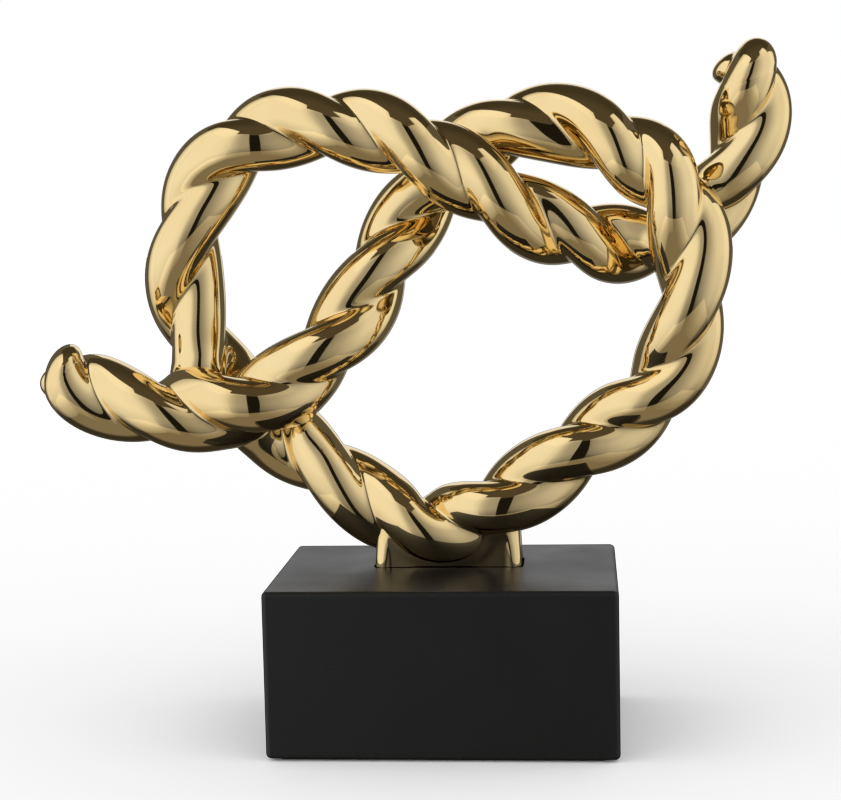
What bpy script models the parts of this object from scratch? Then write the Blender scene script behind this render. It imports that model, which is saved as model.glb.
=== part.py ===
"""Knot sculpture: a polished rope of two strands in an overhand knot, standing on a black block.

Metres, +Z up. The origin is the middle of the block's felt underside, X runs to the right as seen
from the front and Y runs to the back.
"""
import math

import bmesh
import bpy
import numpy as np

GAP = 0.0003                 # left between pieces that touch
CUT_MARGIN = 0.005           # how far a cutting shape runs past the face that it opens
SHARP_ANGLE = math.radians(35)
EDGE_SEGMENTS = 3            # across a rounded edge
ROUND_SEGMENTS = 24          # around a turned piece
ROUND_PROFILE = 0.5          # share that makes a bevel a quarter circle

# Rope: each strand is round and lies beside the rope's axis
STRAND_RADIUS = 0.0134
STRAND_OFFSET = 0.0068       # from the rope's axis to a strand's middle
STRAND_STRETCH = 1.09        # a slanting strand, cut square to the rope, is wider than high
TIP_LENGTH = 0.0138          # rounded end of a strand
LEFT_STAGGER = 0.0014        # how much further the front strand runs than the other, at each tail
RIGHT_STAGGER = 0.001
RING_STEP = 0.0045
STRAND_POINTS = 9            # across one strand's visible arc
TIP_RINGS = 4

# Route of the rope's axis, in millimetres and upwards from its lowest bend, from the left tail to
# the right tail. The strands make half a turn from each point to the next: at every point one
# strand lies in front of the other. The first and the last point lie past the rope and only bend
# its tails.
ROUTE_UNIT = 0.001
ROUTE = [
    (-211.7, 1, 97),
    (-189.8, -1, 77.3),      # left tail
    (-143, -4, 60.2),
    (-99, -6, 64),           # first crossing, in front
    (-59, 2, 89),
    (-32.3, 18, 129.3),
    (-4.5, 28, 171.3),       # second crossing, behind
    (34.5, 20.5, 198.7),
    (85.5, 3, 190.3),
    (114, -5, 165),          # third crossing, in front
    (122.8, -2, 114),
    (103.7, 7, 64.3),
    (67, 9, 37.3),
    (26.2, 9, 9.2),
    (-13.3, 10, -1.5),       # lowest bend, over the foot
    (-59.5, 18, 26.2),
    (-98.5, 27, 52.4),       # first crossing, behind
    (-127, 24, 92),
    (-129.3, 11, 148),
    (-100.2, 3, 191.9),
    (-55, -2, 201.2),
    (-10.5, -6, 189.8),      # second crossing, in front
    (30, -1, 163.3),
    (69.3, 14.5, 143.3),
    (107, 27, 140.7),        # third crossing, behind
    (147, 24, 177),
    (151.2, 14.5, 222),      # right tail
    (129, 9.7, 254),
]
LEFT_END = 1.043             # half turns along the route where the strands' ends begin
RIGHT_END = 25.97

# Block
BASE_WIDTH = 0.170
BASE_DEPTH = 0.120
BASE_TOP = 0.083
BASE_EDGE_RADIUS = 0.0025
ROPE_CLEARANCE = 0.0008      # from the block's top to the rope's lowest bend
FELT_THICKNESS = 0.0010
FELT_INSET = 0.005
FELT_CORNER_RADIUS = 0.004

# Foot under the lowest bend, standing in the block's slot
FOOT_LEFT = -0.036
FOOT_RIGHT = 0.037
FOOT_MIDDLE_Y = 0.0115
FOOT_THICKNESS = 0.025
FOOT_DEPTH = 0.030           # below the block's top
FOOT_END_RADIUS = 0.012
FOOT_END_POINTS = 7          # around each of its rounded corners
FOOT_TOP_DROP = 0.005        # from the rope's axis down to the foot's top
FOOT_TOP_POINTS = 7          # along its straight middle
FOOT_BEND = (12, 16)         # half turns between which the rope passes over the foot
SLOT_CLEARANCE = 0.0015      # around the foot

# M6 fixings from below, with a brass insert in the foot
SCREW_SPACING = 0.040
SCREW_DIAMETER = 0.0060
THREAD_MEAN_DIAMETER = 0.00535
SCREW_LENGTH = 0.035
THREAD_LENGTH = 0.014
HEAD_DIAMETER = 0.010
HEAD_HEIGHT = 0.006
SOCKET_ACROSS_FLATS = 0.005
SOCKET_DEPTH = 0.003
WASHER_DIAMETER = 0.012
WASHER_THICKNESS = 0.0016
INSERT_DIAMETER = 0.009
INSERT_LENGTH = 0.013
INSERT_HOLE_DEPTH = 0.018
RECESS_DIAMETER = 0.014
SEAT_THICKNESS = 0.021       # wood left between the screw's recess and the slot

# Heights worked out from the sizes above
ROUTE_HEIGHT = BASE_TOP + ROPE_CLEARANCE + STRAND_OFFSET + STRAND_RADIUS
BLOCK_BOTTOM = FELT_THICKNESS + GAP
FOOT_BOTTOM = BASE_TOP - FOOT_DEPTH
SLOT_FLOOR = FOOT_BOTTOM - GAP
SEAT_HEIGHT = SLOT_FLOOR - SEAT_THICKNESS
WASHER_TOP = SEAT_HEIGHT - GAP
HEAD_TOP = WASHER_TOP - WASHER_THICKNESS - GAP
SCREW_TOP = HEAD_TOP + SCREW_LENGTH
FOOT_MIDDLE_X = (FOOT_LEFT + FOOT_RIGHT) / 2
SCREW_PLACES = {
    "left": FOOT_MIDDLE_X - SCREW_SPACING / 2,
    "right": FOOT_MIDDLE_X + SCREW_SPACING / 2,
}


def clear_scene():
    for item in list(bpy.data.objects):
        bpy.data.objects.remove(item, do_unlink=True)


def make_material(name, colour, roughness, metallic):
    material = bpy.data.materials.new(name)
    material.use_nodes = True
    shader = material.node_tree.nodes["Principled BSDF"]
    shader.inputs["Base Color"].default_value = (*colour, 1.0)
    shader.inputs["Roughness"].default_value = roughness
    shader.inputs["Metallic"].default_value = metallic
    material.diffuse_color = (*colour, 1.0)
    return material


def add_object(name, bm, material=None):
    bmesh.ops.recalc_face_normals(bm, faces=bm.faces)
    mesh = bpy.data.meshes.new(name)
    bm.to_mesh(mesh)
    bm.free()
    item = bpy.data.objects.new(name, mesh)
    bpy.context.scene.collection.objects.link(item)
    if material is None:
        item.hide_render = True
        item.display_type = "WIRE"
    else:
        mesh.materials.append(material)
        mesh.shade_smooth()
        mesh.set_sharp_from_angle(angle=SHARP_ANGLE)
    return item


def add_boolean(item, other, operation, use_self=False):
    modifier = item.modifiers.new(other.name, "BOOLEAN")
    modifier.operation = operation
    modifier.object = other
    modifier.use_self = use_self


def box(low, high):
    bm = bmesh.new()
    bmesh.ops.create_cube(bm, size=1.0)
    size = [b - a for a, b in zip(low, high)]
    middle = [(a + b) / 2 for a, b in zip(low, high)]
    bmesh.ops.scale(bm, vec=size, verts=bm.verts)
    bmesh.ops.translate(bm, vec=middle, verts=bm.verts)
    return bm


def round_edges(bm, edges, radius):
    bmesh.ops.bevel(bm, geom=edges, offset=radius, segments=EDGE_SEGMENTS,
                    profile=ROUND_PROFILE, affect="EDGES")


def upright_edges(bm):
    def is_upright(edge):
        step = edge.verts[1].co - edge.verts[0].co
        return abs(step.z) > step.xy.length
    return [edge for edge in bm.edges if is_upright(edge)]


def turned(profile, x, y, segments=ROUND_SEGMENTS, closed=False):
    """Solid turned about an upright axis; the profile holds (radius, height) pairs.

    A closed profile makes a ring.
    """
    bm = bmesh.new()
    angles = np.arange(segments) * 2 * math.pi / segments
    circle = np.column_stack([np.cos(angles), np.sin(angles), np.zeros(segments)])
    rings = []
    for radius, height in profile:
        points = circle * radius if radius else circle[:1] * 0
        rings.append([bm.verts.new(point) for point in points + (x, y, height)])
    if closed:
        rings.append(rings[0])
    for lower, upper in zip(rings, rings[1:]):
        bridge_loops(bm, lower, upper)
    return bm


def bridge_loops(bm, lower, upper):
    """Faces between two closed loops of equal length, or between a loop and one point."""
    count = max(len(lower), len(upper))
    for i in range(count):
        j = (i + 1) % count
        low = [lower[k % len(lower)] for k in (i, j)]
        high = [upper[k % len(upper)] for k in (j, i)]
        bm.faces.new(list(dict.fromkeys(low + high)))


class RopePath:
    """Axis of the rope by distance along it, counted from where the left tail's end begins."""

    SAMPLES = 6000
    STEP = 0.0005            # either side of a place, for the rope's direction there

    def __init__(self):
        places = np.array(ROUTE) * ROUTE_UNIT + (0.0, 0.0, ROUTE_HEIGHT)
        points = np.column_stack([places, np.arange(len(ROUTE))])
        self.curve = smooth_curve(points, self.SAMPLES)
        steps = np.linalg.norm(np.diff(self.curve[:, :3], axis=0), axis=1)
        along = np.concatenate([[0.0], np.cumsum(steps)])
        start, stop = np.interp((LEFT_END, RIGHT_END), self.curve[:, 3], along)
        self.along = along - start
        self.length = float(stop - start)

    def at(self, distance):
        return np.array([np.interp(distance, self.along, column) for column in self.curve.T])

    def frame(self, distance):
        """Point on the axis, direction from it to the first strand, and the direction across that."""
        here = self.at(distance)
        forward = self.at(distance + self.STEP)[:3] - self.at(distance - self.STEP)[:3]
        forward /= np.linalg.norm(forward)
        back = np.array([0.0, 1.0, 0.0])
        back -= forward * forward.dot(back)
        back /= np.linalg.norm(back)
        side = np.cross(forward, back)
        angle = math.pi * here[3]
        toward = back * math.cos(angle) + side * math.sin(angle)
        across = side * math.cos(angle) - back * math.sin(angle)
        return here[:3], toward, across


def smooth_curve(points, samples):
    """Natural cubic spline through the points, in every column, with chord lengths of the place."""
    count = len(points)
    chords = np.linalg.norm(np.diff(points[:, :3], axis=0), axis=1)
    knots = np.concatenate([[0.0], np.cumsum(chords)])
    slopes = np.diff(points, axis=0) / chords[:, None]
    system = np.eye(count)
    target = np.zeros_like(points)
    for i in range(1, count - 1):
        system[i, i - 1:i + 2] = chords[i - 1], 2 * (chords[i - 1] + chords[i]), chords[i]
        target[i] = 6 * (slopes[i] - slopes[i - 1])
    bend = np.linalg.solve(system, target)
    at = np.linspace(0.0, knots[-1], samples)
    span = np.clip(np.searchsorted(knots, at, side="right") - 1, 0, count - 2)
    chord = chords[span][:, None]
    after = (at - knots[span])[:, None]
    before = chord - after
    curved = (bend[span] * before ** 3 + bend[span + 1] * after ** 3) / (6 * chord)
    left = (points[span] / chord - bend[span] * chord / 6) * before
    right = (points[span + 1] / chord - bend[span + 1] * chord / 6) * after
    return curved + left + right


class Rope:
    """Closed skin of the two strands along the path."""

    SPLIT_SAMPLES = 400      # places tried for where the strands' tips part
    WAIST = math.cos(math.pi - math.pi / STRAND_POINTS)  # the groove's angle where they part

    def __init__(self, path):
        self.path = path
        self.starts = [-TIP_LENGTH - LEFT_STAGGER, -TIP_LENGTH]
        self.stops = [path.length + TIP_LENGTH, path.length + TIP_LENGTH + RIGHT_STAGGER]

    def radius(self, strand, distance):
        to_end = min(distance - self.starts[strand], self.stops[strand] - distance)
        depth = np.clip(1 - to_end / TIP_LENGTH, 0.0, 1.0)
        return STRAND_RADIUS * math.sqrt(1 - depth ** 2)

    def groove(self, strand, distance):
        """Cosine of the angle, about the strand's middle, at which it meets the other strand."""
        own = self.radius(strand, distance)
        other = self.radius(1 - strand, distance)
        place = (other ** 2 - own ** 2) / (4 * STRAND_OFFSET)
        return (place - STRAND_OFFSET) / own

    def arc(self, strand, distance):
        middle, toward, across = self.path.frame(distance)
        own = self.radius(strand, distance)
        opening = math.acos(max(self.groove(strand, distance), self.WAIST))
        angles = np.linspace(-opening, opening, STRAND_POINTS)
        sign = 1 if strand == 0 else -1
        out = sign * (STRAND_OFFSET + own * np.cos(angles))
        aside = sign * own * STRAND_STRETCH * np.sin(angles)
        return middle + out[:, None] * toward + aside[:, None] * across

    def split_place(self, inner, outer):
        """Last place, from inner to outer, where the strands' ends still meet in a groove."""
        for distance in np.linspace(inner, outer, self.SPLIT_SAMPLES):
            if min(self.groove(0, distance), self.groove(1, distance)) < self.WAIST:
                return distance
        return outer

    def build(self):
        bm = bmesh.new()
        first_split = self.split_place(0.0, max(self.starts))
        last_split = self.split_place(self.path.length, min(self.stops))
        count = round((last_split - first_split) / RING_STEP)
        loops = []
        for distance in np.linspace(first_split, last_split, count + 1):
            points = np.vstack([self.arc(0, distance)[:-1], self.arc(1, distance)[:-1]])
            loops.append([bm.verts.new(point) for point in points])
        for lower, upper in zip(loops, loops[1:]):
            bridge_loops(bm, lower, upper)
        self.close_tips(bm, loops[0], first_split, self.starts)
        self.close_tips(bm, loops[-1], last_split, self.stops)
        bmesh.ops.triangulate(bm, faces=bm.faces, quad_method="SHORT_EDGE")
        return bm

    def close_tips(self, bm, loop, split, ends):
        halfway = STRAND_POINTS - 1
        strand_loops = [loop[:halfway + 1], loop[halfway:] + loop[:1]]
        for strand, lower in enumerate(strand_loops):
            end = ends[strand]
            reach = abs(end - split)
            toward_end = math.copysign(1.0, end - split)
            start_angle = math.asin(min(max(1 - reach / TIP_LENGTH, 0.0), 1.0))
            for angle in np.linspace(start_angle, math.pi / 2, TIP_RINGS + 2)[1:-1]:
                distance = end - toward_end * TIP_LENGTH * (1 - math.sin(angle))
                upper = [bm.verts.new(point) for point in self.arc(strand, distance)]
                bridge_loops(bm, lower, upper)
                lower = upper
            middle, toward, _ = self.path.frame(end)
            sign = 1 if strand == 0 else -1
            bridge_loops(bm, lower, [bm.verts.new(middle + sign * STRAND_OFFSET * toward)])


def foot_shape(path):
    """Upright block with rounded ends, whose top follows the rope's axis and so ends inside the strands."""
    x, _, z, half_turn = path.curve.T
    bend = (half_turn > FOOT_BEND[0]) & (half_turn < FOOT_BEND[1])
    order = np.argsort(x[bend])
    angles = np.linspace(0.0, math.pi / 2, FOOT_END_POINTS)
    from_end = FOOT_END_RADIUS * (1 - np.cos(angles))
    narrower = FOOT_END_RADIUS * (1 - np.sin(angles))
    middle = np.linspace(FOOT_LEFT + FOOT_END_RADIUS, FOOT_RIGHT - FOOT_END_RADIUS, FOOT_TOP_POINTS)[1:-1]
    along = np.concatenate([FOOT_LEFT + from_end, middle, FOOT_RIGHT - from_end[::-1]])
    halves = FOOT_THICKNESS / 2 - np.concatenate([narrower, middle * 0, narrower[::-1]])
    tops = np.interp(along, x[bend][order], z[bend][order]) - FOOT_TOP_DROP
    bm = bmesh.new()
    sections = []
    for place, half, top in zip(along, halves, tops):
        front, back = FOOT_MIDDLE_Y - half, FOOT_MIDDLE_Y + half
        corners = [(front, FOOT_BOTTOM), (back, FOOT_BOTTOM), (back, top), (front, top)]
        sections.append([bm.verts.new((place, y, height)) for y, height in corners])
    for section in (sections[0], sections[-1]):
        bm.faces.new(section)
    for section, following in zip(sections, sections[1:]):
        bridge_loops(bm, section, following)
    return bm


def make_rope_knot(gold):
    path = RopePath()
    knot = add_object("rope_knot", Rope(path).build(), gold)
    foot = add_object("foot_shape", foot_shape(path))
    add_boolean(knot, foot, "UNION", use_self=True)
    hole_radius = INSERT_DIAMETER / 2 + GAP
    low = FOOT_BOTTOM - CUT_MARGIN
    high = FOOT_BOTTOM + INSERT_HOLE_DEPTH
    profile = [(0, low), (hole_radius, low), (hole_radius, high), (0, high)]
    for side, x in SCREW_PLACES.items():
        hole = add_object(f"insert_hole_{side}", turned(profile, x, FOOT_MIDDLE_Y))
        add_boolean(knot, hole, "DIFFERENCE")


def make_base_block(black):
    half_width = BASE_WIDTH / 2
    half_depth = BASE_DEPTH / 2
    bm = box((-half_width, -half_depth, BLOCK_BOTTOM), (half_width, half_depth, BASE_TOP))
    round_edges(bm, list(bm.edges), BASE_EDGE_RADIUS)
    block = add_object("base_block", bm, black)
    half_slot = FOOT_THICKNESS / 2 + SLOT_CLEARANCE
    low = (FOOT_LEFT - SLOT_CLEARANCE, FOOT_MIDDLE_Y - half_slot, SLOT_FLOOR)
    high = (FOOT_RIGHT + SLOT_CLEARANCE, FOOT_MIDDLE_Y + half_slot, BASE_TOP + CUT_MARGIN)
    add_boolean(block, add_object("slot_shape", box(low, high)), "DIFFERENCE")
    recess = RECESS_DIAMETER / 2
    hole = SCREW_DIAMETER / 2 + GAP
    below = BLOCK_BOTTOM - CUT_MARGIN
    above = SLOT_FLOOR + CUT_MARGIN
    profile = [
        (0, below), (recess, below), (recess, SEAT_HEIGHT),
        (hole, SEAT_HEIGHT), (hole, above), (0, above),
    ]
    for side, x in SCREW_PLACES.items():
        shape = add_object(f"screw_hole_{side}", turned(profile, x, FOOT_MIDDLE_Y))
        add_boolean(block, shape, "DIFFERENCE")


def make_fixings(side, x, steel, brass):
    y = FOOT_MIDDLE_Y
    shank = SCREW_DIAMETER / 2
    thread = THREAD_MEAN_DIAMETER / 2
    head = HEAD_DIAMETER / 2
    head_bottom = HEAD_TOP - HEAD_HEIGHT
    thread_start = SCREW_TOP - THREAD_LENGTH
    profile = [
        (0, head_bottom), (head, head_bottom), (head, HEAD_TOP), (shank, HEAD_TOP),
        (shank, thread_start), (thread, thread_start), (thread, SCREW_TOP), (0, SCREW_TOP),
    ]
    screw = add_object(f"fixing_screw_{side}", turned(profile, x, y), steel)
    flats = 6
    socket = SOCKET_ACROSS_FLATS / 2 / math.cos(math.pi / flats)
    low = head_bottom - CUT_MARGIN
    high = head_bottom + SOCKET_DEPTH
    profile = [(0, low), (socket, low), (socket, high), (0, high)]
    shape = add_object(f"socket_shape_{side}", turned(profile, x, y, segments=flats))
    add_boolean(screw, shape, "DIFFERENCE")

    inner = SCREW_DIAMETER / 2 + GAP
    outer = WASHER_DIAMETER / 2
    bottom = WASHER_TOP - WASHER_THICKNESS
    ring = [(inner, bottom), (outer, bottom), (outer, WASHER_TOP), (inner, WASHER_TOP)]
    add_object(f"washer_{side}", turned(ring, x, y, closed=True), steel)

    inner = THREAD_MEAN_DIAMETER / 2 + GAP
    outer = INSERT_DIAMETER / 2
    bottom = FOOT_BOTTOM + GAP
    top = bottom + INSERT_LENGTH
    ring = [(inner, bottom), (outer, bottom), (outer, top), (inner, top)]
    add_object(f"threaded_insert_{side}", turned(ring, x, y, closed=True), brass)


def make_felt_pad(felt):
    half_width = BASE_WIDTH / 2 - FELT_INSET
    half_depth = BASE_DEPTH / 2 - FELT_INSET
    bm = box((-half_width, -half_depth, 0.0), (half_width, half_depth, FELT_THICKNESS))
    round_edges(bm, upright_edges(bm), FELT_CORNER_RADIUS)
    add_object("felt_pad", bm, felt)


def main():
    clear_scene()
    gold = make_material("polished_gold", (0.78, 0.62, 0.32), 0.06, 1.0)
    black = make_material("matt_black", (0.02, 0.02, 0.02), 0.6, 0.0)
    steel = make_material("zinc_plated_steel", (0.55, 0.56, 0.58), 0.3, 1.0)
    brass = make_material("plain_brass", (0.72, 0.55, 0.25), 0.3, 1.0)
    felt = make_material("black_felt", (0.015, 0.015, 0.015), 0.95, 0.0)
    make_rope_knot(gold)
    make_base_block(black)
    for side, x in SCREW_PLACES.items():
        make_fixings(side, x, steel, brass)
    make_felt_pad(felt)


main()
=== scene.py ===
"""Knot sculpture: a polished gold rope of two strands in an overhand knot, on a matt black block."""

import math

import bmesh
import bpy
import numpy as np
from mathutils import Matrix, Vector
from mathutils.bvhtree import BVHTree


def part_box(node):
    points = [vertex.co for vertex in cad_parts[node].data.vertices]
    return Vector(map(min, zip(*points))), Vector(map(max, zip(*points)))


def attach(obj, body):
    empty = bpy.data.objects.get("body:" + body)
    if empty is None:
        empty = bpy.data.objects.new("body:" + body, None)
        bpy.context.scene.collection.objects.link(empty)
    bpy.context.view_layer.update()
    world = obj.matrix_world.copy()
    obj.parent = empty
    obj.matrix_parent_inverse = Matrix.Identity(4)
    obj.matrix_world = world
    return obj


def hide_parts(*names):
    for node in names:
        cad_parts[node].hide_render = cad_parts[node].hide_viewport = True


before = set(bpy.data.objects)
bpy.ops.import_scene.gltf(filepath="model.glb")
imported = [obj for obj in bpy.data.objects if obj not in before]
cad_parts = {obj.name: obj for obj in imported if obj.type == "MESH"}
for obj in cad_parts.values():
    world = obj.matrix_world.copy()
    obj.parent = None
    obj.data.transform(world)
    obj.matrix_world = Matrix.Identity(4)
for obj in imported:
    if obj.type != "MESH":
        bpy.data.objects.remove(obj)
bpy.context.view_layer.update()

# Rope, in metres and along the CAD model's route
STRAND_RADIUS = 0.01325      # a little under the CAD model's, whose facets stand out at their corners
STRAND_OFFSET = 0.0068       # from the rope's axis to a strand's middle
STRAND_STRETCH = 1.09        # by which a strand is wider across the pair
TIP_LENGTH = 0.0138
TIP_GROOVE = 0.0015          # over which the two tips run into each other
LEFT_STAGGER = 0.0014        # by which one strand is longer than the other
RIGHT_STAGGER = 0.001
GROOVE_SOFTNESS = 0.12       # share by which the groove between the strands is rounded
ROUTE_UNIT = 0.001
ROUTE_HEIGHT = 0.104         # of the route's zero over the felt's underside
# Places on the rope's axis, each half a turn of the strands after the last
ROUTE = [
    (-211.7, 1, 97),
    (-189.8, -1, 77.3),      # left tail
    (-143, -4, 60.2),
    (-99, -6, 64),           # first crossing, in front
    (-59, 2, 89),
    (-32.3, 18, 129.3),
    (-4.5, 28, 171.3),       # second crossing, behind
    (34.5, 20.5, 198.7),
    (85.5, 3, 190.3),
    (114, -5, 165),          # third crossing, in front
    (122.8, -2, 114),
    (103.7, 7, 64.3),
    (67, 9, 37.3),
    (26.2, 9, 9.2),
    (-13.3, 10, -1.5),       # lowest bend, over the foot
    (-59.5, 18, 26.2),
    (-98.5, 27, 52.4),       # first crossing, behind
    (-127, 24, 92),
    (-129.3, 11, 148),
    (-100.2, 3, 191.9),
    (-55, -2, 201.2),
    (-10.5, -6, 189.8),      # second crossing, in front
    (30, -1, 163.3),
    (69.3, 14.5, 143.3),
    (107, 27, 140.7),        # third crossing, behind
    (147, 24, 177),
    (151.2, 14.5, 222),      # right tail
    (129, 9.7, 254),
]
LEFT_END = 1.043             # half turns along the route where the strands' ends begin
RIGHT_END = 25.97
ROUTE_SAMPLES = 6000
POINTS_AROUND = 88
GROOVE_POINTS = 0.22         # share by which the points around are drawn towards the groove
RINGS = 1060
END_RINGS = 24               # of them over each end's domes
END_REACH = 0.020            # along the rope, in which its rings bend towards the domes
MERGE_DISTANCE = 0.00001
# Passes that meet: half turns of the one in front and the one behind, and the reach of the rounding between them
CROSSINGS = [(3, 16, 0.020), (21, 6, 0.008), (9, 24, 0.008)]
CROSSING_REACH = 2.4         # half turns either side in which they may touch
FOOT_FILLET = 0.005          # reach of the rounding where the rope runs into its foot
FOOT_TAPER = 0.020           # from the foot's ends, where that rounding fades
FILLET_ROUNDS = 8            # in which the height of the rounding settles, by a share of the rest in each
FILLET_SHARE = 0.7
EVENING_ROUNDS = 10          # that even the rounding between neighbours
ROPE_UNDERSIDE = 0.2         # upward part of a normal, below which the rope may face its foot
FOOT_UPRIGHT = 0.5           # the same, below which a face of the foot is one of its sides

# Foot, and the block and felt it stands on
FOOT_LEFT = -0.036
FOOT_RIGHT = 0.037
FOOT_MIDDLE_Y = 0.0115
FOOT_THICKNESS = 0.025
FOOT_BOTTOM = 0.053
FOOT_END_RADIUS = 0.007
FOOT_TOP_DROP = 0.005        # from the rope's axis down to the foot's top
FOOT_FLARE = 0.002           # by which its corners are fuller in the slot than under the rope
FLARE_BOTTOM = 0.083         # at the block's top
FLARE_TOP = 0.100
FOOT_POINT_STEP = 0.0012     # around it
FOOT_LOWER_ROWS = 6          # in its lower half, which the slot hides
FOOT_UPPER_ROWS = 24
FOOT_BEND = (12, 16)         # half turns between which the rope passes over the foot
SLOT_CLEARANCE = 0.0015
SLOT_CORNER_RADIUS = 0.004
SLOT_FLOOR = 0.0527
BLOCK_EDGE_RADIUS = 0.0025
BLOCK_EDGE_STEPS = 6
FELT_CORNER_RADIUS = 0.004
CORNER_STEPS = 8             # in a round corner of the foot, the slot and the felt
SCREW_PLACES = (-0.0195, 0.0205)
SCREW_HOLE = 0.0033          # radii
SCREW_RECESS = 0.007
INSERT_HOLE = 0.0048
INSERT_HOLE_TOP = 0.071
SEAT_HEIGHT = 0.0317         # of the washers under the screw heads
HOLE_POINTS = 48
CUT_MARGIN = 0.002           # by which a cutter stands out of the piece
SHARP_ANGLE = math.radians(40)

# Finishes
GRAIN_MIDDLE = (0.3, 0.7)    # between which most of a grain's values lie

# Camera
IMAGE_WIDTH = 841
FOCAL_PIXELS = 1850
SENSOR = 36.0
CAMERA_PLACE = (0.0695, -0.9167, 0.2695)
CAMERA_YAW = math.radians(5.06)
CAMERA_PITCH = math.radians(6.30)
CAMERA_ROLL = math.radians(-1.27)

# Studio
FLOOR_REACH = 8.0
ROOM_SIDE = 1.7
ROOM_NEAR = -2.2
ROOM_FAR = 1.9
ROOM_BOTTOM = -1.0           # under the floor, which the mirrors don't show
ROOM_TOP = 2.2
CARD_SIDE = 0.7
CARD_Y = 1.8
CARD_TOP = 1.6
PANEL_BOTTOM = -0.9
BACKDROP_LIGHT = 0.7         # strength of the white backdrop as a light, while it shows as 1


class Field:
    """Output of a node that takes plain sums, so that a formula in nodes reads as one."""

    def __init__(self, tree, socket):
        self.tree = tree
        self.socket = socket

    def math(self, operation, *others):
        return math_node(self.tree, operation, self, *others)

    def __add__(self, other):
        return self.math("ADD", other)

    def __sub__(self, other):
        return self.math("SUBTRACT", other)

    def __rsub__(self, other):
        return math_node(self.tree, "SUBTRACT", other, self)

    def __mul__(self, other):
        return self.math("MULTIPLY", other)

    def __truediv__(self, other):
        return self.math("DIVIDE", other)

    __rmul__ = __mul__


def feed(tree, slot, value):
    """Links a field to the slot, or sets the slot to a plain value."""
    if isinstance(value, Field):
        tree.links.new(value.socket, slot)
    else:
        slot.default_value = value


def add_node(tree, kind, settings=None, **inputs):
    """New node; the inputs' names have _ for a space."""
    node = tree.nodes.new(kind)
    for name, value in (settings or {}).items():
        setattr(node, name, value)
    for name, value in inputs.items():
        feed(tree, node.inputs[name.replace("_", " ")], value)
    return node


def out(node, name=0):
    """Field of one of the node's outputs."""
    return Field(node.id_data, node.outputs[name])


def math_node(tree, operation, *values):
    node = add_node(tree, "ShaderNodeMath", {"operation": operation})
    for slot, value in zip(node.inputs, values):
        feed(tree, slot, value)
    return out(node)


def vector_node(tree, operation, *values):
    node = add_node(tree, "ShaderNodeVectorMath", {"operation": operation})
    for slot, value in zip(node.inputs, values):
        feed(tree, slot, value)
    return out(node, "Value" if operation == "DOT_PRODUCT" else "Vector")


def scaled(vector, factor):
    node = add_node(vector.tree, "ShaderNodeVectorMath", {"operation": "SCALE"}, Scale=factor)
    feed(vector.tree, node.inputs[0], vector)
    return out(node)


def clamped(field):
    return field.math("MAXIMUM", 0.0).math("MINIMUM", 1.0)


def smooth_ramp(field):
    share = clamped(field)
    return share * share * (3 - 2 * share)


def greys(levels):
    return [(share, (level, level, level)) for share, level in levels]


def ramp_node(field, colours):
    """Ramp over pairs of a share and a colour."""
    ramp = add_node(field.tree, "ShaderNodeValToRGB", Fac=field)
    stops = ramp.color_ramp.elements
    while len(stops) < len(colours):
        stops.new(0.5)
    for stop, (share, colour) in zip(stops, colours):
        stop.position = share
        stop.color = (*colour, 1)
    return out(ramp)


def geometry_tree(name, sizes):
    """New tree with a named input for each size, and the fields of those inputs."""
    tree = bpy.data.node_groups.new(name, "GeometryNodeTree")
    tree.is_modifier = True
    tree.interface.new_socket("Geometry", in_out="INPUT", socket_type="NodeSocketGeometry")
    for label, value in sizes.items():
        kind = {int: "NodeSocketInt", float: "NodeSocketFloat"}.get(type(value), "NodeSocketMaterial")
        tree.interface.new_socket(label, in_out="INPUT", socket_type=kind)
    tree.interface.new_socket("Geometry", in_out="OUTPUT", socket_type="NodeSocketGeometry")
    group = tree.nodes.new("NodeGroupInput")
    return tree, {socket.name: Field(tree, socket) for socket in group.outputs if socket.name}


def finish_tree(tree, geometry, material):
    real = add_node(tree, "GeometryNodeRealizeInstances", Geometry=geometry)
    painted = add_node(tree, "GeometryNodeSetMaterial", Geometry=out(real), Material=material)
    tree.links.new(painted.outputs[0], tree.nodes.new("NodeGroupOutput").inputs[0])


def bake(item):
    """Makes the result of the object's modifiers its plain mesh."""
    bpy.context.view_layer.update()
    graph = bpy.context.evaluated_depsgraph_get()
    mesh = bpy.data.meshes.new_from_object(item.evaluated_get(graph), depsgraph=graph)
    item.modifiers.clear()
    mesh.name = item.name
    item.data = mesh


def run_tree(item, tree, sizes):
    """Runs the tree on the object with these sizes and keeps what it makes."""
    modifier = item.modifiers.new(tree.name, "NODES")
    modifier.node_group = tree
    for socket in tree.interface.items_tree:
        if socket.in_out == "INPUT" and socket.name in sizes:
            modifier[socket.identifier] = sizes[socket.name]
    bake(item)


def add_mesh(name, places, edges=(), faces=()):
    mesh = bpy.data.meshes.new(name)
    mesh.from_pydata(places, edges, faces)
    item = bpy.data.objects.new(name, mesh)
    bpy.context.scene.collection.objects.link(item)
    return item


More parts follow.
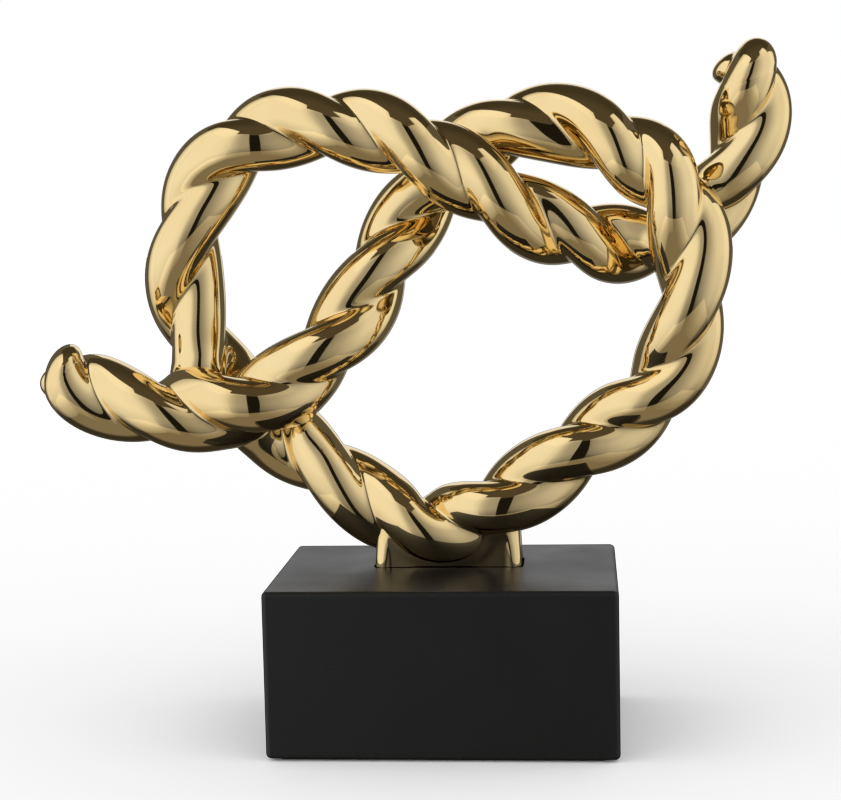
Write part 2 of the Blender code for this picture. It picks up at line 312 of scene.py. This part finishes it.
def smooth_curve(points, samples):
    """Natural cubic spline through the points, in every column, with chord lengths of the place."""
    count = len(points)
    chords = np.linalg.norm(np.diff(points[:, :3], axis=0), axis=1)
    knots = np.concatenate([[0.0], np.cumsum(chords)])
    slopes = np.diff(points, axis=0) / chords[:, None]
    system = np.eye(count)
    target = np.zeros_like(points)
    for i in range(1, count - 1):
        system[i, i - 1:i + 2] = chords[i - 1], 2 * (chords[i - 1] + chords[i]), chords[i]
        target[i] = 6 * (slopes[i] - slopes[i - 1])
    bend = np.linalg.solve(system, target)
    at = np.linspace(0.0, knots[-1], samples)
    span = np.clip(np.searchsorted(knots, at, side="right") - 1, 0, count - 2)
    chord = chords[span][:, None]
    after = (at - knots[span])[:, None]
    before = chord - after
    curved = (bend[span] * before ** 3 + bend[span + 1] * after ** 3) / (6 * chord)
    left = (points[span] / chord - bend[span] * chord / 6) * before
    right = (points[span + 1] / chord - bend[span + 1] * chord / 6) * after
    return curved + left + right


def rope_route():
    """Places along the rope's axis, with the half turns of the strands in the last column."""
    places = np.array(ROUTE) * ROUTE_UNIT + (0.0, 0.0, ROUTE_HEIGHT)
    return smooth_curve(np.column_stack([places, np.arange(len(ROUTE))]), ROUTE_SAMPLES)


def rope_tree(sizes):
    """Skin of the two strands: rings of a tube, set around the route by a formula.

    The rings at each end shrink into the tube's pole over the strands' two domes.
    """
    tree, size = geometry_tree("two_strand_rope", sizes)
    route = out(add_node(tree, "GeometryNodeMeshToCurve", Mesh=size["Geometry"]))
    tube = add_node(
        tree, "GeometryNodeMeshCylinder", {"fill_type": "NONE"},
        Vertices=size["Points around"], Side_Segments=size["Rings"], Radius=1.0, Depth=2.0)
    place = add_node(tree, "ShaderNodeSeparateXYZ", Vector=out(tree.nodes.new("GeometryNodeInputPosition")))
    ring = (out(place, "Z") + 1) * 0.5       # share along the tube

    # Ends: how far a ring lies over the left or the right end, and along the rope between them
    cap = size["End share"]
    over_left = clamped((cap - ring) / cap)
    over_right = clamped((ring - (1 - cap)) / cap)
    along = clamped((ring - cap) / (1 - 2 * cap))
    fill = ((over_left + over_right) * (math.pi / 2)).math("COSINE")
    length = size["Right end"] - size["Left end"]
    near_left = smooth_ramp(1 - along * length / size["End reach"])
    near_right = smooth_ramp(1 - (1 - along) * length / size["End reach"])

    # Section: two round strands beside the axis, with more points near the groove
    step = out(place, "Y").math("ARCTAN2", out(place, "X"))
    angle = step + (step * 2).math("SINE") * GROOVE_POINTS
    cosine = angle.math("COSINE")
    sine = angle.math("SINE")
    offset = size["Strand offset"]
    radius = size["Strand radius"]
    soft = size["Groove softness"]
    inner = (cosine * cosine + soft * soft).math("SQRT") * offset
    outer = (radius * radius - offset * offset * sine * sine).math("SQRT")
    reach = (inner + outer) * fill
    ahead = reach * cosine
    aside = reach * sine

    # Domes of the strands' tips, by distance from each strand's middle
    def dome(middle):
        apart = ahead - middle
        inside = 1 - (apart * apart + aside * aside) / (radius * radius)
        return inside.math("SIGN") * inside.math("ABSOLUTE").math("SQRT") * size["Tip length"]

    def rounded_end(first, second):
        gap = (first - second).math("ABSOLUTE")
        blend = (size["Tip groove"] - gap).math("MAXIMUM", 0.0)
        return first.math("MAXIMUM", second) + blend * blend / (size["Tip groove"] * 4)

    first = dome(offset)
    second = dome(0 - offset)
    left = rounded_end(first + size["Left stagger"], second)
    right = rounded_end(first, second + size["Right stagger"])
    distance = size["Left end"] + along * length - near_left * left + near_right * right

    # Place and turn of the strands at that distance
    turns = add_node(tree, "GeometryNodeInputNamedAttribute", Name="half_turns")
    here = add_node(
        tree, "GeometryNodeSampleCurve", {"mode": "LENGTH"},
        Curves=route, Value=out(turns), Length=distance)
    forward = vector_node(tree, "NORMALIZE", out(here, "Tangent"))
    lean = scaled(forward, vector_node(tree, "DOT_PRODUCT", forward, (0, 1, 0)))
    back = vector_node(tree, "NORMALIZE", vector_node(tree, "SUBTRACT", (0, 1, 0), lean))
    side = vector_node(tree, "CROSS_PRODUCT", forward, back)
    turn = out(here, "Value") * math.pi
    turn_cosine = turn.math("COSINE")
    turn_sine = turn.math("SINE")
    wide = aside * size["Strand stretch"]
    to_back = scaled(back, ahead * turn_cosine - wide * turn_sine)
    to_side = scaled(side, ahead * turn_sine + wide * turn_cosine)
    moved = vector_node(tree, "ADD", vector_node(tree, "ADD", out(here, "Position"), to_back), to_side)

    skin = add_node(
        tree, "GeometryNodeStoreNamedAttribute", Geometry=out(tube, "Mesh"), Name="half_turns",
        Value=out(here, "Value"))
    skin = add_node(tree, "GeometryNodeSetPosition", Geometry=out(skin), Position=moved)
    skin = add_node(tree, "GeometryNodeMergeByDistance", Geometry=out(skin), Distance=MERGE_DISTANCE)
    skin = add_node(tree, "GeometryNodeSetShadeSmooth", Geometry=out(skin))
    finish_tree(tree, out(skin), size["Polish"])
    return tree


def make_rope(gold):
    """The rope's skin, with each point's half turns, which tell the passes apart."""
    route = rope_route()
    item = add_mesh("rope_knot_polished", route[:, :3], [(i, i + 1) for i in range(len(route) - 1)])
    item.data.attributes.new("half_turns", "FLOAT", "POINT").data.foreach_set("value", route[:, 3])
    steps = np.linalg.norm(np.diff(route[:, :3], axis=0), axis=1)
    along = np.concatenate([[0.0], np.cumsum(steps)])
    ends = np.interp((LEFT_END, RIGHT_END), route[:, 3], along)
    sizes = {
        "Strand radius": STRAND_RADIUS, "Strand offset": STRAND_OFFSET, "Strand stretch": STRAND_STRETCH,
        "Groove softness": GROOVE_SOFTNESS, "Tip length": TIP_LENGTH, "Tip groove": TIP_GROOVE,
        "Left stagger": LEFT_STAGGER, "Right stagger": RIGHT_STAGGER,
        "Left end": float(ends[0]), "Right end": float(ends[1]),
        "End share": END_RINGS / RINGS, "End reach": END_REACH,
        "Points around": POINTS_AROUND, "Rings": RINGS, "Polish": gold,
    }
    run_tree(item, rope_tree(sizes), sizes)
    return item


def mesh_array(items, name, width):
    values = np.empty(len(items) * width)
    items.foreach_get(name, values)
    return values.reshape(-1, width)


class Skin:
    """Points, normals and faces of a piece, kept as they are before it runs into another."""

    def __init__(self, mesh):
        self.places = mesh_array(mesh.vertices, "co", 3)
        self.normals = mesh_array(mesh.vertices, "normal", 3)
        self.faces = [tuple(face.vertices) for face in mesh.polygons]
        self.edges = mesh_array(mesh.edges, "vertices", 2).astype(int)
        self.neighbours = np.bincount(self.edges.ravel(), minlength=len(self.places))

    def search_tree(self, chosen):
        """Search tree of the faces that have all their points among the chosen ones."""
        faces = [face for face in self.faces if all(chosen[i] for i in face)]
        return BVHTree.FromPolygons(self.places.tolist(), faces)

    def heights(self, chosen, other, reach):
        """How far each chosen point moves out to run smoothly into the other skin."""
        heights = np.zeros(len(self.places))
        for i in np.flatnonzero(chosen):
            heights[i] = fillet_height(other, self.places[i], self.normals[i], reach)
        return heights

    def raised(self, heights):
        """The points moved out, with steps between neighbours evened."""
        for _ in range(EVENING_ROUNDS):
            total = np.bincount(self.edges[:, 0], heights[self.edges[:, 1]], len(heights))
            total += np.bincount(self.edges[:, 1], heights[self.edges[:, 0]], len(heights))
            heights = (heights + total / self.neighbours) / 2
        return self.places + self.normals * heights[:, None]


def fillet_height(other, place, normal, reach):
    """Height at which a smooth union of the point's own skin and the other one stands out of its own.

    It follows from the distance to the other skin at that height, so it is found in a few rounds.
    """
    start = Vector(place)
    outwards = Vector(normal)
    height = 0.0
    for _ in range(FILLET_ROUNDS):
        here = start + outwards * height
        hit, face_normal, _, distance = other.find_nearest(here, reach * 2)
        if hit is None:
            return 0.0
        apart = math.copysign(distance, (here - hit).dot(face_normal))
        if apart < height:
            wanted = reach / 4
        else:
            wanted = max(reach - (apart - height), 0.0) ** 2 / (4 * reach)
        height += (wanted - height) * FILLET_SHARE
    return height


def foot_taper(x):
    """Share of the rounding along the foot, whose ends stay crisp."""
    share = np.clip(np.minimum(x - FOOT_LEFT, FOOT_RIGHT - x) / FOOT_TAPER, 0.0, 1.0)
    return share * share * (3 - 2 * share)


def run_together(rope, foot):
    """Rounds the corners where two passes of the rope meet, and where it meets its foot, as in a casting."""
    skin = Skin(rope.data)
    turns = mesh_array(rope.data.attributes["half_turns"].data, "value", 1)[:, 0]
    heights = np.zeros(len(skin.places))
    for front, behind, fillet in CROSSINGS:
        for own, other in ((front, behind), (behind, front)):
            near_own = np.abs(turns - own) < CROSSING_REACH
            near_other = np.abs(turns - other) < CROSSING_REACH
            heights = np.maximum(heights, skin.heights(near_own, skin.search_tree(near_other), fillet))
    over_foot = (turns > FOOT_BEND[0]) & (turns < FOOT_BEND[1])
    under_rope = over_foot & (skin.normals[:, 2] < ROPE_UNDERSIDE)
    foot_skin = Skin(foot.data)
    side = np.abs(foot_skin.normals[:, 2]) < FOOT_UPRIGHT
    taper = foot_taper(skin.places[:, 0])
    heights = np.maximum(heights, taper * skin.heights(under_rope, foot_skin.search_tree(side), FOOT_FILLET))
    taper = foot_taper(foot_skin.places[:, 0])
    foot_heights = taper * foot_skin.heights(side, skin.search_tree(over_foot), FOOT_FILLET)
    for mesh, places in ((rope.data, skin.raised(heights)), (foot.data, foot_skin.raised(foot_heights))):
        mesh.vertices.foreach_set("co", places.ravel())
        mesh.update()
    rope.data.attributes.remove(rope.data.attributes["half_turns"])


def cut_and_smooth(item, cutters):
    """Takes the cutters out of the piece, and keeps its flat faces flat beside the rounded edges."""
    for cutter in cutters:
        modifier = item.modifiers.new(cutter.name, "BOOLEAN")
        modifier.operation = "DIFFERENCE"
        modifier.object = cutter
    item.data.shade_smooth()
    item.data.set_sharp_from_angle(angle=SHARP_ANGLE)
    modifier = item.modifiers.new("flat_faces", "WEIGHTED_NORMAL")
    modifier.keep_sharp = True
    bake(item)
    for cutter in cutters:
        bpy.data.objects.remove(cutter)


def rounded_rectangle(low, high, radius):
    """Corner points of a rectangle with round corners, counter-clockwise from above."""
    points = []
    centres = [
        (high[0] - radius, high[1] - radius), (low[0] + radius, high[1] - radius),
        (low[0] + radius, low[1] + radius), (high[0] - radius, low[1] + radius)]
    for quarter, (x, y) in enumerate(centres):
        for step in range(CORNER_STEPS + 1):
            angle = (quarter + step / CORNER_STEPS) * math.pi / 2
            points.append((x + radius * math.cos(angle), y + radius * math.sin(angle)))
    return points


def upright_piece(name, rows):
    """Closed piece of rows of places around it, from below to above."""
    count = len(rows[0])
    places = [tuple(place) for row in rows for place in row]
    last = count * (len(rows) - 1)
    faces = [tuple(reversed(range(count))), tuple(range(last, last + count))]
    for row in range(len(rows) - 1):
        for i in range(count):
            a = row * count + i
            b = row * count + (i + 1) % count
            faces.append((a, b, b + count, a + count))
    return add_mesh(name, places, faces=faces)


def flat_rows(outline, *heights):
    """The same outline at each of the heights."""
    return [[(x, y, height) for x, y in outline] for height in heights]


def round_cutter(name, x, profile):
    """Turned shape about an upright axis; the profile holds (radius, height) pairs from its foot to its top."""
    angles = np.arange(HOLE_POINTS) * 2 * math.pi / HOLE_POINTS
    rows = [
        [(x + radius * math.cos(a), FOOT_MIDDLE_Y + radius * math.sin(a), height) for a in angles]
        for radius, height in profile]
    return upright_piece(name, rows)


def fine_outline(outline, step):
    """The outline with points no further apart than the step."""
    fine = []
    for start, end in zip(outline, outline[1:] + outline[:1]):
        count = math.ceil(math.dist(start, end) / step)
        fine += [tuple(np.array(start) + (np.array(end) - start) * i / count) for i in range(count)]
    return fine


def make_foot(gold):
    """Upright foot under the lowest bend, whose top follows the rope's axis inside the strands."""
    x, _, z, half_turn = rope_route().T
    bend = (half_turn > FOOT_BEND[0]) & (half_turn < FOOT_BEND[1])
    order = np.argsort(x[bend])
    low = np.array([FOOT_LEFT, FOOT_MIDDLE_Y - FOOT_THICKNESS / 2])
    high = np.array([FOOT_RIGHT, FOOT_MIDDLE_Y + FOOT_THICKNESS / 2])
    outline = np.array(fine_outline(rounded_rectangle(low, high, FOOT_END_RADIUS), FOOT_POINT_STEP))
    tops = np.interp(outline[:, 0], x[bend][order], z[bend][order]) - FOOT_TOP_DROP

    # Directions in which the corners grow fuller, from none at their ends to most in their middle
    from_middle = outline - (low + high) / 2
    round_corner = np.clip(np.abs(from_middle) - (high - low) / 2 + FOOT_END_RADIUS, 0.0, None) / FOOT_END_RADIUS
    outwards = np.sign(from_middle) * round_corner * 2 * round_corner.prod(axis=1, keepdims=True)

    lower = np.linspace(0.0, 0.5, FOOT_LOWER_ROWS)
    upper = np.linspace(0.5, 1.0, FOOT_UPPER_ROWS)
    rows = []
    for share in np.concatenate([lower, upper[1:]]):
        heights = FOOT_BOTTOM + (tops - FOOT_BOTTOM) * share
        flare = FOOT_FLARE * np.clip((FLARE_TOP - heights) / (FLARE_TOP - FLARE_BOTTOM), 0.0, 1.0)
        rows.append(np.column_stack([outline + outwards * flare[:, None], heights]))
    item = upright_piece("rope_foot_polished", rows)
    item.data.materials.append(gold)
    return item


def drill_foot(foot):
    profile = [(INSERT_HOLE, FOOT_BOTTOM - CUT_MARGIN), (INSERT_HOLE, INSERT_HOLE_TOP)]
    cut_and_smooth(foot, [round_cutter(f"insert_hole_{i}", x, profile) for i, x in enumerate(SCREW_PLACES)])


def make_block(black):
    low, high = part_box("base_block")
    bm = bmesh.new()
    bmesh.ops.create_cube(bm, size=1.0)
    bmesh.ops.scale(bm, vec=high - low, verts=bm.verts)
    bmesh.ops.translate(bm, vec=(low + high) / 2, verts=bm.verts)
    bmesh.ops.bevel(
        bm, geom=list(bm.edges), offset=BLOCK_EDGE_RADIUS, segments=BLOCK_EDGE_STEPS, profile=0.5, affect="EDGES")
    item = add_mesh("base_block_matt", [])
    bm.to_mesh(item.data)
    bm.free()
    item.data.materials.append(black)
    half = FOOT_THICKNESS / 2 + SLOT_CLEARANCE
    outline = rounded_rectangle(
        (FOOT_LEFT - SLOT_CLEARANCE, FOOT_MIDDLE_Y - half), (FOOT_RIGHT + SLOT_CLEARANCE, FOOT_MIDDLE_Y + half),
        SLOT_CORNER_RADIUS)
    cutters = [upright_piece("slot", flat_rows(outline, SLOT_FLOOR, high.z + CUT_MARGIN))]
    profile = [
        (SCREW_RECESS, low.z - CUT_MARGIN), (SCREW_RECESS, SEAT_HEIGHT),
        (SCREW_HOLE, SEAT_HEIGHT), (SCREW_HOLE, SLOT_FLOOR + CUT_MARGIN)]
    cutters += [round_cutter(f"screw_hole_{i}", x, profile) for i, x in enumerate(SCREW_PLACES)]
    cut_and_smooth(item, cutters)
    return item


def make_felt(felt):
    low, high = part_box("felt_pad")
    outline = rounded_rectangle(low, high, FELT_CORNER_RADIUS)
    item = upright_piece("felt_sheet", flat_rows(outline, low.z, high.z))
    item.data.materials.append(felt)
    cut_and_smooth(item, [])
    return item


def dress_fixings():
    """Finishes of the fixings hidden in the block, whose CAD shapes stay."""
    steel = zinc_plated_steel()
    brass = plain_brass()
    for side in ("left", "right"):
        for name, finish in (("fixing_screw", steel), ("washer", steel), ("threaded_insert", brass)):
            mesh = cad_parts[f"{name}_{side}"].data
            mesh.materials.clear()
            mesh.materials.append(finish)


def new_finish(name):
    """New material, its shader and the place on the piece."""
    material = bpy.data.materials.new(name)
    material.use_nodes = True
    tree = material.node_tree
    place = out(tree.nodes.new("ShaderNodeTexCoord"), "Object")
    return material, tree.nodes["Principled BSDF"], place


def grain(place, scale, detail=2.0):
    return out(add_node(place.tree, "ShaderNodeTexNoise", Vector=place, Scale=scale, Detail=detail))


def spread(field, low, high):
    """The middle of a grain's values, spread from low to high."""
    return out(add_node(
        field.tree, "ShaderNodeMapRange", Value=field, From_Min=GRAIN_MIDDLE[0], From_Max=GRAIN_MIDDLE[1],
        To_Min=low, To_Max=high))


def tinted(field, dark, light):
    return ramp_node(field, list(zip(GRAIN_MIDDLE, (dark, light))))


def bumps(field, distance):
    return out(add_node(field.tree, "ShaderNodeBump", Height=field, Distance=distance), "Normal")


def polished_gold():
    """Gold plate over a hand-polished casting: long gentle waves, and a breath of haze in places."""
    material, shader, place = new_finish("polished_gold")
    tree = place.tree
    shader.inputs["Metallic"].default_value = 1.0
    feed(tree, shader.inputs["Base Color"], tinted(grain(place, 25.0), (0.86, 0.655, 0.325), (0.90, 0.71, 0.38)))
    feed(tree, shader.inputs["Roughness"], spread(grain(place, 70.0, 4.0), 0.03, 0.06))
    feed(tree, shader.inputs["Normal"], bumps(grain(place, 40.0, 1.0), 0.0003))
    return material


def matt_black():
    """Black lacquer sprayed over wood, with its fine dry grain."""
    material, shader, place = new_finish("matt_black")
    tree = place.tree
    shader.inputs["Specular IOR Level"].default_value = 0.36
    dry_grain = grain(place, 1500.0)
    feed(tree, shader.inputs["Base Color"], tinted(dry_grain, (0.005, 0.005, 0.0052), (0.009, 0.009, 0.0093)))
    feed(tree, shader.inputs["Roughness"], spread(grain(place, 30.0, 3.0), 0.36, 0.44))
    feed(tree, shader.inputs["Normal"], bumps(dry_grain, 0.00012))
    return material


def black_felt():
    """Pressed wool: short fibres in all directions."""
    material, shader, place = new_finish("black_felt")
    tree = place.tree
    shader.inputs["Sheen Weight"].default_value = 0.4
    shader.inputs["Specular IOR Level"].default_value = 0.1
    fibres = grain(place, 900.0, 5.0)
    feed(tree, shader.inputs["Base Color"], tinted(fibres, (0.008, 0.008, 0.009), (0.026, 0.026, 0.028)))
    feed(tree, shader.inputs["Roughness"], spread(grain(place, 120.0), 0.88, 0.98))
    feed(tree, shader.inputs["Normal"], bumps(fibres, 0.0004))
    return material


def turned_metal(name, dark, light):
    """Metal with the fine rings that a lathe leaves around an upright axis."""
    material, shader, place = new_finish(name)
    tree = place.tree
    shader.inputs["Metallic"].default_value = 1.0
    lathe = add_node(tree, "ShaderNodeMapping", Vector=place, Scale=(60, 60, 2500))
    feed(tree, shader.inputs["Base Color"], tinted(grain(place, 300.0, 3.0), dark, light))
    rings = grain(out(lathe), 1.0)
    feed(tree, shader.inputs["Roughness"], spread(rings, 0.22, 0.4))
    feed(tree, shader.inputs["Normal"], bumps(rings, 0.00002))
    return material


def zinc_plated_steel():
    return turned_metal("zinc_plated_steel", (0.52, 0.53, 0.55), (0.66, 0.67, 0.68))


def plain_brass():
    return turned_metal("plain_brass", (0.74, 0.53, 0.22), (0.84, 0.64, 0.30))


def add_camera():
    """Camera fitted to the block's corners in the photo."""
    yaw = Matrix.Rotation(-CAMERA_YAW, 3, "Z")
    pitch = Matrix.Rotation(CAMERA_PITCH, 3, "X")
    roll = Matrix.Rotation(CAMERA_ROLL, 3, "Y")
    right, forward, up = roll @ pitch @ yaw      # the rows of the turn
    data = bpy.data.cameras.new("camera")
    data.sensor_width = SENSOR
    data.lens = FOCAL_PIXELS / IMAGE_WIDTH * SENSOR
    camera = bpy.data.objects.new("camera", data)
    turn = Matrix((right, up, -forward)).transposed().to_4x4()
    camera.matrix_world = Matrix.Translation(CAMERA_PLACE) @ turn
    bpy.context.scene.collection.objects.link(camera)
    bpy.context.scene.camera = camera


def plain_glow(name, colour):
    material = bpy.data.materials.new(name)
    material.use_nodes = True
    tree = material.node_tree
    glow = add_node(tree, "ShaderNodeEmission", Color=(*colour, 1))
    tree.links.new(glow.outputs[0], tree.nodes["Material Output"].inputs["Surface"])
    tree.nodes.remove(tree.nodes["Principled BSDF"])
    return material


def fading_glow(name, axis, levels):
    """Glow that fades along an axis of the room; levels holds pairs of a place on it and a colour."""
    material = plain_glow(name, (1, 1, 1))
    tree = material.node_tree
    place = add_node(tree, "ShaderNodeSeparateXYZ", Vector=out(tree.nodes.new("ShaderNodeTexCoord"), "Object"))
    start, end = levels[0][0], levels[-1][0]
    share = (out(place, axis) - start) / (end - start)
    shares = [((at - start) / (end - start), colour) for at, colour in levels]
    feed(tree, tree.nodes["Emission"].inputs["Color"], ramp_node(share, shares))
    return material


def plain_paint(name, colour):
    material = bpy.data.materials.new(name)
    material.use_nodes = True
    shader = material.node_tree.nodes["Principled BSDF"]
    shader.inputs["Base Color"].default_value = (*colour, 1)
    shader.inputs["Roughness"].default_value = 0.9
    shader.inputs["Specular IOR Level"].default_value = 0.0
    return material


def level_corners(side, near, far, height):
    """Corners of a level sheet, as wide to the left as to the right."""
    return [(-side, near, height), (side, near, height), (side, far, height), (-side, far, height)]


def wall_corners(start, end, top=ROOM_TOP):
    """Corners of a wall between two places on the room's floor."""
    return [(*start, ROOM_BOTTOM), (*end, ROOM_BOTTOM), (*end, top), (*start, top)]


def add_floor():
    """Pale floor that only catches the object's shadow."""
    corners = level_corners(FLOOR_REACH, -FLOOR_REACH, FLOOR_REACH, 0.0)
    floor = add_mesh("floor", corners, faces=[(0, 1, 2, 3)])
    floor.data.materials.append(plain_paint("floor_paint", (0.8, 0.8, 0.8)))
    floor.is_shadow_catcher = True
    floor.visible_glossy = False


def add_room():
    """Sheets that glow at set levels and only the mirrors show: a painted reflection of a dim room, darkest around the
    camera, with a glowing card behind the object that is painted brighter towards its top.
    """
    # Painted reflection: each sheet glows at a set level and is seen only in the mirrors, not lit by the lamps
    black = plain_glow("black_wall", (0.012, 0.011, 0.010))
    dim = plain_glow("dim_wall", (0.115, 0.107, 0.086))
    # Painted light and shade: the floor and ceiling glows darken towards the back, and the card glow brightens from
    # its foot to its top
    floor_glow = fading_glow("room_floor_glow", "Y", [(-0.05, (0.23, 0.208, 0.165)), (0.25, (0.04, 0.036, 0.028))])
    ceiling = fading_glow("room_ceiling", "Y", [(-0.5, (0.085, 0.072, 0.052)), (0.5, (0.055, 0.047, 0.032))])
    card_glow = fading_glow("back_card_glow", "Z", greys([(-0.6, 0.15), (0.0, 0.45), (0.35, 0.9)]))
    near_left, near_right = (-ROOM_SIDE, ROOM_NEAR), (ROOM_SIDE, ROOM_NEAR)
    middle_left, middle_right = (-ROOM_SIDE, 0), (ROOM_SIDE, 0)
    far_left, far_right = (-ROOM_SIDE, ROOM_FAR), (ROOM_SIDE, ROOM_FAR)
    for name, glow, corners in (
            ("room_floor", floor_glow, level_corners(ROOM_SIDE, ROOM_NEAR, ROOM_FAR, ROOM_BOTTOM)),
            ("room_ceiling", ceiling, level_corners(ROOM_SIDE, ROOM_NEAR, ROOM_FAR, ROOM_TOP)),
            ("room_front", black, wall_corners(near_left, near_right)),
            ("room_front_left", black, wall_corners(near_left, middle_left)),
            ("room_front_right", black, wall_corners(near_right, middle_right)),
            ("room_left", dim, wall_corners(middle_left, far_left)),
            ("room_right", dim, wall_corners(middle_right, far_right)),
            ("room_back", dim, wall_corners(far_left, far_right)),
            ("back_card", card_glow, wall_corners((-CARD_SIDE, CARD_Y), (CARD_SIDE, CARD_Y), CARD_TOP))):
        wall = add_mesh(name, corners, faces=[(0, 1, 2, 3)])
        wall.data.materials.append(glow)
        wall.visible_camera = False
        wall.visible_shadow = False
        wall.visible_diffuse = False


def add_panel(name, start, end, across, upright, top):
    """Upright soft panel between two places on the floor, from left to right as the object sees it.

    Its brightness is the product of two ramps. The pairs of across hold a share of its width and a level, and those of
    upright a height and a level.
    """
    along = Vector((end[0] - start[0], end[1] - start[1], 0))
    lamp = bpy.data.lights.new(name, "AREA")
    lamp.shape = "RECTANGLE"
    lamp.size = along.length
    lamp.size_y = top - PANEL_BOTTOM
    lamp.energy = math.pi * lamp.size * lamp.size_y
    lamp.use_nodes = True
    tree = lamp.node_tree
    parametric = out(tree.nodes.new("ShaderNodeNewGeometry"), "Parametric")
    place = add_node(tree, "ShaderNodeSeparateXYZ", Vector=parametric)
    shares = [((height - PANEL_BOTTOM) / (top - PANEL_BOTTOM), level) for height, level in upright]
    level = ramp_node(out(place, "X"), greys(across)) * ramp_node(out(place, "Y"), greys(shares))
    feed(tree, tree.nodes["Emission"].inputs["Strength"], level)
    panel = bpy.data.objects.new(name, lamp)
    right = along.normalized()
    up = Vector((0, 0, 1))
    panel.matrix_world = Matrix((right, up, right.cross(up))).transposed().to_4x4()
    panel.location = ((start[0] + end[0]) / 2, (start[1] + end[1]) / 2, (PANEL_BOTTOM + top) / 2)
    panel.visible_camera = False
    bpy.context.scene.collection.objects.link(panel)


def add_panels():
    """Panels either side of the camera, which fade towards the floor."""
    left_fall = [(PANEL_BOTTOM, 0.1), (-0.55, 0.4), (-0.29, 0.8), (0.1, 1.0)]
    strip_fall = [
        (PANEL_BOTTOM, 0.1), (-0.46, 0.45), (-0.31, 0.58), (-0.17, 0.72), (-0.04, 0.84), (0.08, 0.94), (0.2, 1.0)]
    right_fall = [(PANEL_BOTTOM, 0.03), (-0.55, 0.15), (-0.31, 0.36), (-0.12, 0.7), (0.04, 0.82), (0.3, 1.0)]
    add_panel(
        "left_panel", (-1.2, 0.56), (-0.49, -1.05),
        [(0.0, 0.45), (0.1, 0.62), (0.25, 0.88), (0.45, 1.0), (0.7, 1.0), (0.88, 0.95), (1.0, 0.78)],
        left_fall, 2.02)
    add_panel(
        "left_strip", (-0.49, -1.05), (-0.06, -1.15),
        [(0.0, 0.75), (0.25, 0.55), (0.5, 0.42), (1.0, 0.36)], strip_fall, 1.4)
    add_panel(
        "right_strip", (0.22, -1.15), (0.524, -0.592),
        [(0.0, 0.25), (0.4, 0.35), (0.75, 0.46), (1.0, 0.6)], right_fall, 1.35)
    add_panel(
        "right_panel", (0.524, -0.592), (0.830, -0.029), [(0.0, 0.6), (0.4, 0.82), (1.0, 0.88)], right_fall, 1.95)
    add_panel("right_far", (0.830, -0.029), (1.2, 0.65), [(0.0, 0.88), (0.6, 0.88), (1.0, 0.55)], right_fall, 0.98)


def add_backdrop():
    """White all around, which lights a little less than it shows."""
    world = bpy.data.worlds.new("white_backdrop")
    world.use_nodes = True
    tree = world.node_tree
    light_path = tree.nodes.new("ShaderNodeLightPath")
    seen = out(light_path, "Is Camera Ray").math("MAXIMUM", out(light_path, "Is Glossy Ray"))
    seen = seen.math("MAXIMUM", out(light_path, "Is Transmission Ray"))
    background = tree.nodes["Background"]
    background.inputs["Color"].default_value = (1, 1, 1, 1)
    feed(tree, background.inputs["Strength"], seen * (1 - BACKDROP_LIGHT) + BACKDROP_LIGHT)
    bpy.context.scene.world = world


def add_studio():
    """Everything around the object, in plain view settings."""
    add_floor()
    add_room()
    add_panels()
    add_backdrop()
    bpy.context.scene.view_settings.view_transform = "Standard"


def main():
    gold = polished_gold()
    rope = make_rope(gold)
    foot = make_foot(gold)
    run_together(rope, foot)
    drill_foot(foot)
    block = make_block(matt_black())
    felt = make_felt(black_felt())
    for piece, node, slot in (
            (rope, "rope_knot", "polished_gold"), (foot, "rope_knot", "polished_gold"),
            (block, "base_block", "matt_black"), (felt, "felt_pad", "black_felt")):
        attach(piece, "root")
        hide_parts(node)
    dress_fixings()
    add_camera()
    add_studio()


main()
